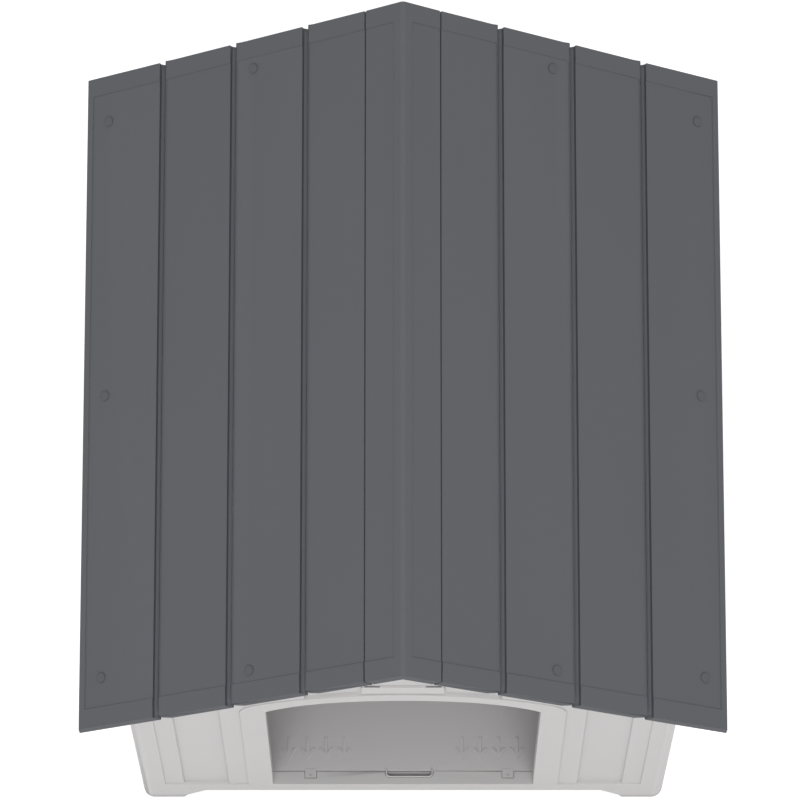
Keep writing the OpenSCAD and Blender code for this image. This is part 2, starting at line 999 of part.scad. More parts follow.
module cap_screws() {
    color([0.62, 0.63, 0.65])
        both_sides()
            cap_screw_places()
                screw();
}

// Bead of the pull loop, standing out from the front edge of the floor
module pull_loop() {
    translate([pull_x, 0, sill_z - bead_d])
        linear_extrude(bead_d + bead_h)
            difference() {
                loop_2d(0);
                loop_hole_2d();
            }
}

// Opening of the pull loop
module loop_hole_2d() {
    w = loop_w / 2 - bead_w;
    r = loop_r - bead_w;
    y0 = pull_y + bead_w;
    translate([-w, y0 + r])
        square([2 * w, loop_out + bead_back + floor_gap]);
    translate([-w + r, y0])
        square([2 * (w - r), r + over]);
    for (side = [-1, 1])
        translate([side * (w - r), y0 + r])
            circle(r);
}

// Tab at the front edge of the floor, lying in its notch in the sill
module floor_tab(x) {
    difference() {
        translate([x - tab_w / 2, tab_y, sill_z - tab_t])
            cube([tab_w, tab_out + floor_gap + tab_back, tab_t + tab_h]);
        translate([x, tab_y + tab_out / 2, sill_z + tab_h - dimple_h])
            cylinder(h = dimple_h + over, d = dimple_d);
    }
}

// Arrow on the floor, pointing to the doorway, its point at the origin
module door_arrow() {
    a = atan((arrow_w / 2) / arrow_head);
    rise = arrow_line / sin(a);
    linear_extrude(arrow_h + over) {
        translate([-arrow_line / 2, rise / 2])
            square([arrow_line, arrow_len - rise / 2]);
        polygon([
            [0, 0],
            [arrow_w / 2, arrow_head],
            [arrow_w / 2, arrow_head + rise / 2],
            [arrow_w / 2 - arrow_line / 2, arrow_head + rise / 2],
            [0, rise],
            [-arrow_w / 2 + arrow_line / 2, arrow_head + rise / 2],
            [-arrow_w / 2, arrow_head + rise / 2],
            [-arrow_w / 2, arrow_head]
        ]);
    }
}

// Round-ended channel across the underside of the floor
module floor_channel() {
    end_x = floor_x - floor_rim - channel_w / 2;
    linear_extrude(channel_d + over) {
        square([2 * end_x, channel_w], center = true);
        for (side = [-1, 1])
            translate([side * end_x, 0])
                circle(d = channel_w);
    }
}

module floor_panel() {
    channel_pitch = (2 * (floor_y - floor_rim) - channel_w) / (channel_n - 1);
    color([0.62, 0.61, 0.61]) {
        difference() {
            translate([-floor_x, -floor_y, ledge_z])
                cube([2 * floor_x, 2 * floor_y, floor_t]);
            for (i = [0 : channel_n - 1])
                translate([0, -floor_y + floor_rim + channel_w / 2 + i * channel_pitch,
                           ledge_z - over])
                    floor_channel();
        }
        pull_loop();
        for (side = [-1, 1])
            floor_tab(pull_x + side * tab_span / 2);
        for (side = [-1, 1], i = [0 : arrow_n - 1])
            translate([side * arrow_x + (i - (arrow_n - 1) / 2) * arrow_pitch,
                       -floor_y + arrow_in, sill_z - over])
                door_arrow();
    }
}
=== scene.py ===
"""Looks of a gabled dog house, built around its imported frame.

Lengths are in metres. The doorway faces -Y, Z is up, and the ground is at Z = 0.
"""

import math

import bmesh
import bpy
from bpy.props import FloatProperty, FloatVectorProperty, IntProperty, PointerProperty
from mathutils import Matrix, Vector


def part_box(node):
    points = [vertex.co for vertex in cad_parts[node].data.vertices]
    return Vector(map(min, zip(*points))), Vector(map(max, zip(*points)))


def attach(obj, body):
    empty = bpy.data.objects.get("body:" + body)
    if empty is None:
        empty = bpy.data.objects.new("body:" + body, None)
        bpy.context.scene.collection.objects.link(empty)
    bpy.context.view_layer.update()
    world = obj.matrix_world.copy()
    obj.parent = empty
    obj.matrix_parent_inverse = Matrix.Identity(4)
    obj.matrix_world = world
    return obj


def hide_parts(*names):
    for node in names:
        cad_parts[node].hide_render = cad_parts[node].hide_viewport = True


bl_info = {
    "name": "Gabled dog house",
    "version": (1, 0, 0),
    "blender": (4, 5, 0),
    "location": "3D View > Sidebar > Dog house",
    "description": "Dresses the frame of a gabled dog house in moulded plastic",
    "category": "Object",
}

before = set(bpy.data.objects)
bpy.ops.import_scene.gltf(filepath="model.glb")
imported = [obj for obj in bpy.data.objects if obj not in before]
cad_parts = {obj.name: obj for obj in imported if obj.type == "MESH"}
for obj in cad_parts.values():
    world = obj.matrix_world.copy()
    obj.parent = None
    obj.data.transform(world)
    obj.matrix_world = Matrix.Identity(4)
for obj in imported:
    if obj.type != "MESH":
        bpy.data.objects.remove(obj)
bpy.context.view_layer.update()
ROOF_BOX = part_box("roof_right")
FLOOR_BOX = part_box("floor_panel")

HOUSE = "house"
FLOOR = "floor"

# Edges that turn by more than this are rounded and shaded as edges
SMOOTH_ANGLE = math.radians(32)
# Neighbouring faces that turn by less than this count as one flat face
FLAT_ANGLE = math.radians(1.0)
# Points closer than this are one point
WELD_DIST = 1e-6
# Faces closer to a height than this lie on it
LEVEL_DIST = 1e-5
# Upright part of the normal of a level face, at least
LEVEL_NORMAL = 0.9
# Widest face, in roundings, that counts as a low step
LOW_STEP = 3.2
# Narrowest face, in roundings, that takes the full rounding
LEAST_FACE = 1.6

# Roundings of the small pieces, and the shortest edge of the plate that is rounded
PLATE_EDGE_R = 0.0003
PLATE_SHORTEST = 0.0006
SCREW_EDGE_R = 0.0001
TAB_EDGE_R = 0.0004
ARROW_EDGE_R = 0.0003
# Rounding of a channel's end as a share of its width: nearly a half circle
CHANNEL_END_SHARE = 0.47

WHITE = (1.0, 1.0, 1.0, 1.0)
GROUND_COLOUR = (0.86, 0.86, 0.86, 1.0)
GROUND_LIFT = 0.5
STEEL_COLOUR = (0.42, 0.42, 0.43, 1.0)
# Tones of painted shade on plastic, of worn plastic and of painted shade on steel, as shares of
# the colour
SHADE_TONE = 0.25
WORN_TONE = 1.5
STEEL_SHADE_TONE = 0.2
# Reflection of the matt plastics, and how far the grain sways the roughness
PLASTIC_SPECULAR = 0.03
PLASTIC_SWAY = 0.12
STEEL_ROUGHNESS = 0.26
STEEL_SWAY = 0.15
# Scale of the coarse grain as a share of that of the fine grain
COARSE_SHARE = 0.31
# Pointiness at which wear begins and is full
WEAR_FROM = 0.52
WEAR_FULL = 0.62
# Part of the normal that makes a face look to the ridge or to an end, for the painted shade on
# such faces
RIDGE_LIMIT = 0.7
END_LIMIT = 0.8
# Reach of the painted shade in fine crevices and of the painted light and shade in wider
# hollows
CREVICE_REACH = 0.002
HOLLOW_REACH = 0.012

# Width of the film in millimetres, and how far the camera sees
SENSOR_W = 36.0
CLIP_END = 60.0

SOFTBOX_SIZE = 3.0
SOFTBOX_AIM = (0.0, 0.0, 0.35)
# Place and power of each softbox
SOFTBOXES = {
    "front_softbox": ((0.0, -2.9, 4.4), 84.0),
    "left_softbox": ((-4.0, 0.5, 4.0), 30.0),
    "right_softbox": ((4.0, 0.5, 4.0), 30.0),
}


def length(name, description, default):
    """A size that a user can change."""
    return FloatProperty(
        name=name, description=description, default=default, unit="LENGTH", precision=5
    )


def colour(name, description, default):
    """A linear colour that a user can change."""
    return FloatVectorProperty(
        name=name,
        description=description,
        default=default,
        size=4,
        subtype="COLOR",
        min=0.0,
        max=1.0,
    )


class RoofSettings(bpy.types.PropertyGroup):
    """Line of the roof and finish of its mouldings."""

    half_w: length("Half width", "From the ridge to the edge of an eave", ROOF_BOX[1].x)
    half_l: length("Half length", "From the middle to an end of the roof", ROOF_BOX[1].y)
    eave_z: length("Eave height", "Height of the top of the eaves", 0.5238)
    rise: length("Rise", "From the top of the eaves to the sharp line of the ridge", 0.2834)
    sheet_drop: length("Field drop", "Drop of the plank fields below their border", 0.0012)
    edge_r: length("Edge rounding", "Rounding of the rims and the plank edges", 0.0011)
    shortest: length("Shortest edge", "Shorter edges, round the pin holes, stay sharp", 0.0024)
    colour: colour("Roof colour", "Colour of the roof plastic", (0.124, 0.1296, 0.141, 1.0))


class PinSettings(bpy.types.PropertyGroup):
    """Sizes and places of the roof pins."""

    head_d: length("Head diameter", "Diameter of a pin head", 0.012)
    head_h: length("Head height", "Height of a pin head", 0.0018)
    shank_d: length("Shank diameter", "Diameter of a pin shank", 0.005)
    shank_len: length("Shank length", "Length of a pin shank", 0.027)
    eave_in: length("Distance from the eave", "From the eave edge to the eave pins", 0.026)
    eave_end: length("Distance from the end", "From the end of an eave to its pins", 0.0566)
    gable_x: length("Gable pins", "In plan from the ridge to the gable pins", 0.1718)
    gable_y: length("Gable line", "From the middle to the line of the gable pins", 0.3538)
    colour: colour("Pin colour", "Colour of the pins", (0.117, 0.1222, 0.133, 1.0))


class WallSettings(bpy.types.PropertyGroup):
    """Finish of the walls and the plain plate."""

    edge_r: length("Edge rounding", "Rounding of the panel edges", 0.0008)
    shortest: length("Shortest edge", "Shorter edges, round the pin holes, stay sharp", 0.0022)
    colour: colour("Wall colour", "Colour of the wall plastic", (0.64, 0.63, 0.628, 1.0))


class FloorSettings(bpy.types.PropertyGroup):
    """Sizes and colour of the floor panel."""

    half_w: length("Half width", "Half width of the floor panel", FLOOR_BOX[1].x)
    half_l: length("Half length", "Half length of the floor panel", FLOOR_BOX[1].y)
    top_z: length("Top", "Height of the top of the floor", 0.076)
    thickness: length("Thickness", "Thickness of the floor panel", 0.022)
    edge_r: length("Edge rounding", "Rounding of the edges", 0.001)
    rim: length("Rim", "Plain rim round the underside", 0.034)
    channel_n: IntProperty(name="Channels", description="Channels under the floor", default=8)
    channel_w: length("Channel width", "Width of a stiffening channel", 0.018)
    channel_d: length("Channel depth", "Depth of a stiffening channel", 0.005)
    pull_x: length("Pull offset", "Offset of the loop and the tabs from the middle", 0.0076)
    loop_out: length("Loop reach", "Reach of the pull loop in front of the seam", 0.0078)
    loop_w: length("Loop width", "Width of the pull loop", 0.0584)
    bead_w: length("Bead width", "Thickness of the bead of the loop", 0.0026)
    bead_h: length("Bead height", "Height of the bead above the floor", 0.0016)
    bead_d: length("Bead depth", "Depth of the bead below the floor top", 0.003)
    bead_back: length("Bead end", "Length of the bead on top of the floor", 0.0024)
    loop_r: length("Loop corner", "Rounding of the outer corners of the loop", 0.006)
    tab_span: length("Tab span", "Between the middles of the two tabs", 0.240)
    tab_w: length("Tab width", "Width of a tab", 0.0138)
    tab_out: length("Tab reach", "Reach of a tab in front of the seam", 0.008)
    tab_back: length("Tab pad", "Length of the pad of a tab behind the seam", 0.002)
    tab_h: length("Tab height", "Height of a tab above the floor", 0.0005)
    tab_t: length("Tab depth", "Depth of a tab below the floor top", 0.003)
    dimple_d: length("Dimple", "Diameter of the dimple in a tab", 0.003)
    dimple_h: length("Dimple depth", "Depth of the dimple in a tab", 0.0016)
    seam_gap: length("Seam", "Gap between the floor and the walls", 0.001)
    arrow_n: IntProperty(name="Arrows", description="Arrows in each group", default=4)
    arrow_w: length("Arrow width", "Width of an arrow", 0.016)
    arrow_len: length("Arrow length", "Length of an arrow", 0.0285)
    arrow_head: length("Arrow head", "Length of the head of an arrow", 0.012)
    arrow_line: length("Stroke", "Width of the strokes of an arrow", 0.004)
    arrow_pitch: length("Arrow pitch", "Between neighbouring arrows", 0.0224)
    arrow_x: length("Arrow group", "From the middle to a group of arrows", 0.105)
    arrow_in: length("Arrow distance", "From the floor's front edge to the points", 0.0125)
    arrow_h: length("Arrow height", "Height of the arrows above the floor", 0.0008)
    colour: colour("Floor colour", "Colour of the floor plastic", (0.64, 0.625, 0.63, 1.0))


class StageSettings(bpy.types.PropertyGroup):
    """Camera, light and ground."""

    focal: FloatProperty(name="Lens", description="Focal length in millimetres", default=257.77)
    shift_x: FloatProperty(name="Shift", description="Sideways lens shift", default=-0.00375)
    camera_y: length("Camera Y", "Place of the camera along Y", -1.7506)
    camera_z: length("Camera Z", "Height of the camera", 6.921)
    elevation: FloatProperty(
        name="Elevation",
        description="Angle of the view below the horizon",
        default=math.radians(74.693),
        subtype="ANGLE",
    )
    sky: FloatProperty(name="Sky", description="Level of the even white sky", default=0.6)
    ground_r: length("Ground radius", "Radius of the white ground", 9.0)


SETTINGS = {
    "doghouse_roof": RoofSettings,
    "doghouse_pins": PinSettings,
    "doghouse_walls": WallSettings,
    "doghouse_floor": FloorSettings,
    "doghouse_stage": StageSettings,
}


def new_group(name, inputs, outputs):
    """An empty shader node group with named sockets: (group, input node, output node)."""
    group = bpy.data.node_groups.new(name, "ShaderNodeTree")
    for socket, kind, default in inputs:
        made = group.interface.new_socket(name=socket, in_out="INPUT", socket_type=kind)
        made.default_value = default
    for socket, kind in outputs:
        group.interface.new_socket(name=socket, in_out="OUTPUT", socket_type=kind)
    return group, group.nodes.new("NodeGroupInput"), group.nodes.new("NodeGroupOutput")


def math_node(tree, operation, first, second=None, clamp=False):
    """A Math node fed by sockets or plain numbers, and its output."""
    node = tree.nodes.new("ShaderNodeMath")
    node.operation = operation
    node.use_clamp = clamp
    for socket, value in zip(node.inputs, (first, second)):
        if isinstance(value, bpy.types.NodeSocket):
            tree.links.new(value, socket)
        elif value is not None:
            socket.default_value = value
    return node.outputs[0]


def noise_node(tree, scale, detail, roughness=0.5):
    """Noise on object coordinates. scale is a socket or a number, in cells per metre."""
    place = tree.nodes.new("ShaderNodeTexCoord")
    noise = tree.nodes.new("ShaderNodeTexNoise")
    tree.links.new(place.outputs["Object"], noise.inputs["Vector"])
    if isinstance(scale, bpy.types.NodeSocket):
        tree.links.new(scale, noise.inputs["Scale"])
    else:
        noise.inputs["Scale"].default_value = scale
    noise.inputs["Detail"].default_value = detail
    noise.inputs["Roughness"].default_value = roughness
    return noise.outputs["Fac"]


def grain_group():
    """Fine moulded grain: a height for a Bump node and a mask for the roughness."""
    group, inside, outside = new_group(
        "Moulded grain",
        [("Scale", "NodeSocketFloat", 900.0), ("Depth", "NodeSocketFloat", 1.0)],
        [("Height", "NodeSocketFloat"), ("Mask", "NodeSocketFloat")],
    )
    fine = noise_node(group, inside.outputs["Scale"], 2.0)
    coarse_scale = math_node(group, "MULTIPLY", inside.outputs["Scale"], COARSE_SHARE)
    coarse = noise_node(group, coarse_scale, 1.0)
    both = math_node(group, "MULTIPLY", fine, coarse)
    height = math_node(group, "MULTIPLY", both, inside.outputs["Depth"])
    group.links.new(height, outside.inputs["Height"])
    group.links.new(fine, outside.inputs["Mask"])
    return group


def tone_group():
    """Slow unevenness of the tone over a moulding."""
    group, inside, outside = new_group(
        "Uneven tone",
        [
            ("Color", "NodeSocketColor", (0.5, 0.5, 0.5, 1.0)),
            ("Amount", "NodeSocketFloat", 0.04),
            ("Scale", "NodeSocketFloat", 4.0),
        ],
        [("Color", "NodeSocketColor")],
    )
    cloud = noise_node(group, inside.outputs["Scale"], 3.0)
    centred = math_node(group, "SUBTRACT", cloud, 0.5)
    swing = math_node(group, "MULTIPLY", centred, inside.outputs["Amount"])
    value = math_node(group, "ADD", swing, 1.0)
    shift = group.nodes.new("ShaderNodeHueSaturation")
    group.links.new(value, shift.inputs["Value"])
    group.links.new(inside.outputs["Color"], shift.inputs["Color"])
    group.links.new(shift.outputs["Color"], outside.inputs["Color"])
    return group


def wear_group():
    """Worn outer edges, broken up by noise."""
    group, inside, outside = new_group(
        "Edge wear",
        [("Amount", "NodeSocketFloat", 0.5), ("Scale", "NodeSocketFloat", 60.0)],
        [("Mask", "NodeSocketFloat")],
    )
    shape = group.nodes.new("ShaderNodeNewGeometry")
    ramp = group.nodes.new("ShaderNodeMapRange")
    ramp.inputs["From Min"].default_value = WEAR_FROM
    ramp.inputs["From Max"].default_value = WEAR_FULL
    group.links.new(shape.outputs["Pointiness"], ramp.inputs["Value"])
    broken = noise_node(group, inside.outputs["Scale"], 4.0)
    worn = math_node(group, "MULTIPLY", ramp.outputs["Result"], broken)
    mask = math_node(group, "MULTIPLY", worn, inside.outputs["Amount"], clamp=True)
    group.links.new(mask, outside.inputs["Mask"])
    return group


def crevice_group():
    """Mask of how sheltered inner corners and grooves are, from ambient occlusion, used to
    paint shade there, and light in the roof's grooves.
    """
    group, inside, outside = new_group(
        "Crevice",
        [
            ("Distance", "NodeSocketFloat", 0.002),
            ("Least", "NodeSocketFloat", 0.0),
            ("Most", "NodeSocketFloat", 1.0),
            ("Amount", "NodeSocketFloat", 0.5),
        ],
        [("Mask", "NodeSocketFloat")],
    )
    hidden = group.nodes.new("ShaderNodeAmbientOcclusion")
    hidden.samples = 8
    group.links.new(inside.outputs["Distance"], hidden.inputs["Distance"])
    shade = math_node(group, "SUBTRACT", 1.0, hidden.outputs["AO"])
    ramp = group.nodes.new("ShaderNodeMapRange")
    group.links.new(shade, ramp.inputs["Value"])
    group.links.new(inside.outputs["Least"], ramp.inputs["From Min"])
    group.links.new(inside.outputs["Most"], ramp.inputs["From Max"])
    mask = math_node(group, "MULTIPLY", ramp.outputs["Result"], inside.outputs["Amount"])
    group.links.new(mask, outside.inputs["Mask"])
    return group


def facing_shade_group():
    """Masks for painted shade on the faces that look towards the ridge, and on the front and
    back faces.
    """
    group, inside, outside = new_group(
        "Facing",
        [("Ridge amount", "NodeSocketFloat", 0.0), ("End amount", "NodeSocketFloat", 0.0)],
        [("Ridge", "NodeSocketFloat"), ("Ends", "NodeSocketFloat")],
    )
    shape = group.nodes.new("ShaderNodeNewGeometry")
    normal = group.nodes.new("ShaderNodeSeparateXYZ")
    group.links.new(shape.outputs["Normal"], normal.inputs["Vector"])
    place = group.nodes.new("ShaderNodeTexCoord")
    spot = group.nodes.new("ShaderNodeSeparateXYZ")
    group.links.new(place.outputs["Object"], spot.inputs["Vector"])
    side = math_node(group, "SIGN", spot.outputs["X"])
    inward = math_node(group, "MULTIPLY", normal.outputs["X"], side)
    past = math_node(group, "LESS_THAN", inward, -RIDGE_LIMIT)
    ridge = math_node(group, "MULTIPLY", past, inside.outputs["Ridge amount"])
    group.links.new(ridge, outside.inputs["Ridge"])
    along = math_node(group, "ABSOLUTE", normal.outputs["Y"])
    square = math_node(group, "GREATER_THAN", along, END_LIMIT)
    ends = math_node(group, "MULTIPLY", square, inside.outputs["End amount"])
    group.links.new(ends, outside.inputs["Ends"])
    return group


def ground_shade_group():
    """Painted shade that fades out from the ground upwards."""
    group, inside, outside = new_group(
        "Ground shade",
        [("Height", "NodeSocketFloat", 0.021), ("Amount", "NodeSocketFloat", 0.33)],
        [("Mask", "NodeSocketFloat")],
    )
    place = group.nodes.new("ShaderNodeTexCoord")
    split = group.nodes.new("ShaderNodeSeparateXYZ")
    group.links.new(place.outputs["Object"], split.inputs["Vector"])
    level = math_node(group, "DIVIDE", split.outputs["Z"], inside.outputs["Height"])
    low = math_node(group, "SUBTRACT", 1.0, level, clamp=True)
    mask = math_node(group, "MULTIPLY", low, inside.outputs["Amount"])
    group.links.new(mask, outside.inputs["Mask"])
    return group


def groups():
    """The shader node groups, built once."""
    makers = {
        "Moulded grain": grain_group,
        "Uneven tone": tone_group,
        "Edge wear": wear_group,
        "Crevice": crevice_group,
        "Facing": facing_shade_group,
        "Ground shade": ground_shade_group,
    }
    for name, maker in makers.items():
        if name not in bpy.data.node_groups:
            maker()
    return bpy.data.node_groups


def place_group(tree, name, **values):
    """A group node in a material, with its input values set by name."""
    node = tree.nodes.new("ShaderNodeGroup")
    node.node_tree = groups()[name]
    for socket, value in values.items():
        node.inputs[socket].default_value = value
    return node


def blend_colours(tree, mask, under, over):
    """Mixes over onto under by a mask. under is a socket, over a linear colour."""
    mix = tree.nodes.new("ShaderNodeMix")
    mix.data_type = "RGBA"
    tree.links.new(mask, mix.inputs["Factor"])
    tree.links.new(under, mix.inputs["A"])
    mix.inputs["B"].default_value = over
    return mix.outputs["Result"]


def scaled(colour_value, factor):
    """A lighter or darker version of a linear colour."""
    return tuple(min(1.0, channel * factor) for channel in colour_value[:3]) + (1.0,)


def plastic(
    name,
    colour_value,
    roughness,
    grain_scale,
    grain_depth,
    crevice,
    hollows,
    facing_amounts=(0.0, 0.0),
):
    """Moulded plastic: uneven tone, fine grain, worn edges, painted shade in crevices, painted
    light and shade in hollows, painted shade on faces by where they look, and painted shade
    fading up from the ground.

    The hollows setting holds the amount, the least and the most shelter, and the tone painted
    into sheltered hollows, darker for painted shade and lighter for painted light.
    facing_amounts holds the painted shade on faces that look to the ridge and on end faces.
    """
    found = bpy.data.materials.get(name)
    if found:
        return found
    material = bpy.data.materials.new(name)
    material.use_nodes = True
    material.diffuse_color = colour_value
    tree = material.node_tree
    shader = tree.nodes["Principled BSDF"]
    dark = scaled(colour_value, SHADE_TONE)
    tone = place_group(tree, "Uneven tone", Color=colour_value, Amount=0.05, Scale=5.0)
    edges = place_group(tree, "Edge wear", Amount=0.12, Scale=70.0)
    shade = blend_colours(
        tree, edges.outputs["Mask"], tone.outputs["Color"], scaled(colour_value, WORN_TONE)
    )
    # Painted shade in fine crevices
    corners = place_group(tree, "Crevice", Distance=CREVICE_REACH, Amount=crevice)
    shade = blend_colours(tree, corners.outputs["Mask"], shade, dark)
    # Painted light and shade in the wider hollows, lighter where the tone is above 1, darker
    # where it is below
    amount, least, most, factor = hollows
    hollow_light_and_shade = place_group(
        tree, "Crevice", Distance=HOLLOW_REACH, Least=least, Most=most, Amount=amount
    )
    shade = blend_colours(tree, hollow_light_and_shade.outputs["Mask"], shade, scaled(colour_value, factor))
    # Painted shade on faces that look to the ridge and on end faces
    facing = place_group(tree, "Facing")
    facing.inputs["Ridge amount"].default_value = facing_amounts[0]
    facing.inputs["End amount"].default_value = facing_amounts[1]
    shade = blend_colours(tree, facing.outputs["Ridge"], shade, dark)
    shade = blend_colours(tree, facing.outputs["Ends"], shade, dark)
    # Painted shade fading up from the ground
    ground_shade = place_group(tree, "Ground shade")
    shade = blend_colours(tree, ground_shade.outputs["Mask"], shade, dark)
    tree.links.new(shade, shader.inputs["Base Color"])
    grain = place_group(tree, "Moulded grain", Scale=grain_scale, Depth=1.0)
    rough = math_node(tree, "MULTIPLY_ADD", grain.outputs["Mask"], PLASTIC_SWAY)
    rough.node.inputs[2].default_value = roughness
    tree.links.new(rough, shader.inputs["Roughness"])
    bump = tree.nodes.new("ShaderNodeBump")
    bump.inputs["Distance"].default_value = grain_depth
    bump.inputs["Strength"].default_value = 0.6
    tree.links.new(grain.outputs["Height"], bump.inputs["Height"])
    tree.links.new(bump.outputs["Normal"], shader.inputs["Normal"])
    shader.inputs["Specular IOR Level"].default_value = PLASTIC_SPECULAR
    return material


def roof_plastic():
    """Dark grey roof plastic."""
    value = tuple(bpy.context.scene.doghouse_roof.colour)
    # The roof's crevices and its faces that look to the ridge or to an end take painted shade;
    # the deep hollows of its plank grooves take painted light, lighter than the colour.
    return plastic(
        "Roof finish",
        value,
        roughness=0.52,
        grain_scale=1100.0,
        grain_depth=0.00012,
        crevice=0.38,
        hollows=(0.8, 0.35, 0.65, 2.2),
        facing_amounts=(0.45, 0.1),
    )


def pin_plastic():
    """Dark grey plastic of the pins."""
    value = tuple(bpy.context.scene.doghouse_pins.colour)
    # Crevices and hollows take painted shade.
    return plastic(
        "Pin finish",
        value,
        roughness=0.46,
        grain_scale=1500.0,
        grain_depth=0.00006,
        crevice=0.4,
        hollows=(0.2, 0.2, 0.8, 0.5),
    )


def wall_plastic():
    """Pale grey wall plastic."""
    value = tuple(bpy.context.scene.doghouse_walls.colour)
    # Crevices and hollows take painted shade.
    return plastic(
        "Wall finish",
        value,
        roughness=0.5,
        grain_scale=1000.0,
        grain_depth=0.00008,
        crevice=0.12,
        hollows=(0.08, 0.1, 0.7, 0.25),
    )


def floor_plastic():
    """Pale grey floor plastic."""
    value = tuple(bpy.context.scene.doghouse_floor.colour)
    # Crevices and hollows take painted shade.
    return plastic(
        "Floor finish",
        value,
        roughness=0.55,
        grain_scale=800.0,
        grain_depth=0.0001,
        crevice=0.1,
        hollows=(0.05, 0.1, 0.7, 0.25),
    )


def screw_steel():
    """Plated steel of the screws, slightly uneven, with painted shade in its crevices."""
    material = bpy.data.materials.new("Screw finish")
    material.use_nodes = True
    tree = material.node_tree
    shader = tree.nodes["Principled BSDF"]
    material.diffuse_color = STEEL_COLOUR
    tone = place_group(tree, "Uneven tone", Color=STEEL_COLOUR, Amount=0.2, Scale=300.0)
    # Painted shade in the crevices
    corners = place_group(tree, "Crevice", Distance=CREVICE_REACH, Amount=0.6)
    dark = scaled(STEEL_COLOUR, STEEL_SHADE_TONE)
    dimmed = blend_colours(tree, corners.outputs["Mask"], tone.outputs["Color"], dark)
    tree.links.new(dimmed, shader.inputs["Base Color"])
    grain = place_group(tree, "Moulded grain", Scale=2500.0, Depth=1.0)
    rough = math_node(tree, "MULTIPLY_ADD", grain.outputs["Mask"], STEEL_SWAY)
    rough.node.inputs[2].default_value = STEEL_ROUGHNESS
    tree.links.new(rough, shader.inputs["Roughness"])
    shader.inputs["Metallic"].default_value = 1.0
    return material


def add_piece(bm, name, body, material, nodes):
    """Turns a finished bmesh into a shown piece that rides on a body."""
    mesh = bpy.data.meshes.new(name)
    bm.to_mesh(mesh)
    bm.free()
    mesh.materials.append(material)
    for face in mesh.polygons:
        face.use_smooth = True
    mesh.set_sharp_from_angle(angle=SMOOTH_ANGLE)
    piece = bpy.data.objects.new(name, mesh)
    bpy.context.scene.collection.objects.link(piece)
    weighted = piece.modifiers.new("Weighted normals", "WEIGHTED_NORMAL")
    weighted.keep_sharp = True
    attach(piece, body)
    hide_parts(*nodes)


def bevel(bm, edges, width, segments=3):
    """Rounds edges of a bmesh."""
    bmesh.ops.bevel(
        bm,
        geom=edges,
        affect="EDGES",
        offset=width,
        offset_type="OFFSET",
        segments=segments,
        profile=0.5,
        material=-1,
        clamp_overlap=False,
        loop_slide=True,
    )


def sharp_edges(bm, shortest=0.0):
    """Edges that turn by more than the smoothing angle and aren't too short to round."""
    return [
        edge
        for edge in bm.edges
        if len(edge.link_faces) == 2
        and edge.calc_face_angle() > SMOOTH_ANGLE
        and edge.calc_length() > shortest
    ]


def narrowest(edge):
    """Rough width of the narrower face beside an edge."""
    return min(
        face.calc_area() / max(side.calc_length() for side in face.edges)
        for face in edge.link_faces
    )


def rounded_copy(node, width, shortest):
    """A merged copy of a frame node, its longer sharp edges rounded, low steps less.

    Edges beside a face under LOW_STEP roundings wide get a third of the rounding, and what is
    left beside a face under LEAST_FACE roundings wide stays sharp.
    """
    bm = bmesh.new()
    bm.from_mesh(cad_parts[node].data)
    bmesh.ops.remove_doubles(bm, verts=bm.verts, dist=WELD_DIST)
    bmesh.ops.dissolve_limit(bm, angle_limit=FLAT_ANGLE, verts=bm.verts, edges=bm.edges)
    edges = sharp_edges(bm, shortest)
    bevel(bm, [edge for edge in edges if narrowest(edge) < LOW_STEP * width], width / 3)
    edges = sharp_edges(bm, shortest)
    bevel(bm, [edge for edge in edges if narrowest(edge) > LEAST_FACE * width], width)
    return bm


def roof_height(roof, x):
    """Height of the plain roof plane at a distance x from the ridge."""
    return roof.eave_z + (roof.half_w - x) * roof.rise / roof.half_w


def rounded_outline(corners):
    """Points of an outline whose corners (x, z, radius, steps) are rounded by arcs."""
    points = []
    count = len(corners)
    for i, (x, z, radius, steps) in enumerate(corners):
        here = Vector((x, z))
        back = Vector(corners[i - 1][:2]) - here
        ahead = Vector(corners[(i + 1) % count][:2]) - here
        if not steps:
            points.append(here)
            continue
        back.normalize()
        ahead.normalize()
        half = back.angle(ahead) / 2
        centre = here + (back + ahead).normalized() * radius / math.sin(half)
        start = here + back * radius / math.tan(half) - centre
        sweep = start.angle_signed(here + ahead * radius / math.tan(half) - centre)
        for k in range(steps + 1):
            turned = start.copy()
            turned.rotate(Matrix.Rotation(-sweep * k / steps, 2))
            points.append(centre + turned)
    return points


class DOGHOUSE_OT_roof_panels(bpy.types.Operator):
    """Make the two roof panels with their planks"""

    bl_idname = "doghouse.roof_panels"
    bl_label = "Roof panels"

    def execute(self, context):
        roof = context.scene.doghouse_roof
        for node in ("roof_right", "roof_left"):
            bm = rounded_copy(node, roof.edge_r, roof.shortest)
            add_piece(bm, node + "_planks", HOUSE, roof_plastic(), [node])
        return {"FINISHED"}


class DOGHOUSE_OT_ridge_cap(bpy.types.Operator):
    """Make the ridge cap"""

    bl_idname = "doghouse.ridge_cap"
    bl_label = "Ridge cap"

    def execute(self, context):
        roof = context.scene.doghouse_roof
        bm = rounded_copy("ridge_cap", roof.edge_r, roof.shortest)
        add_piece(bm, "ridge_cap_moulding", HOUSE, roof_plastic(), ["ridge_cap"])
        return {"FINISHED"}


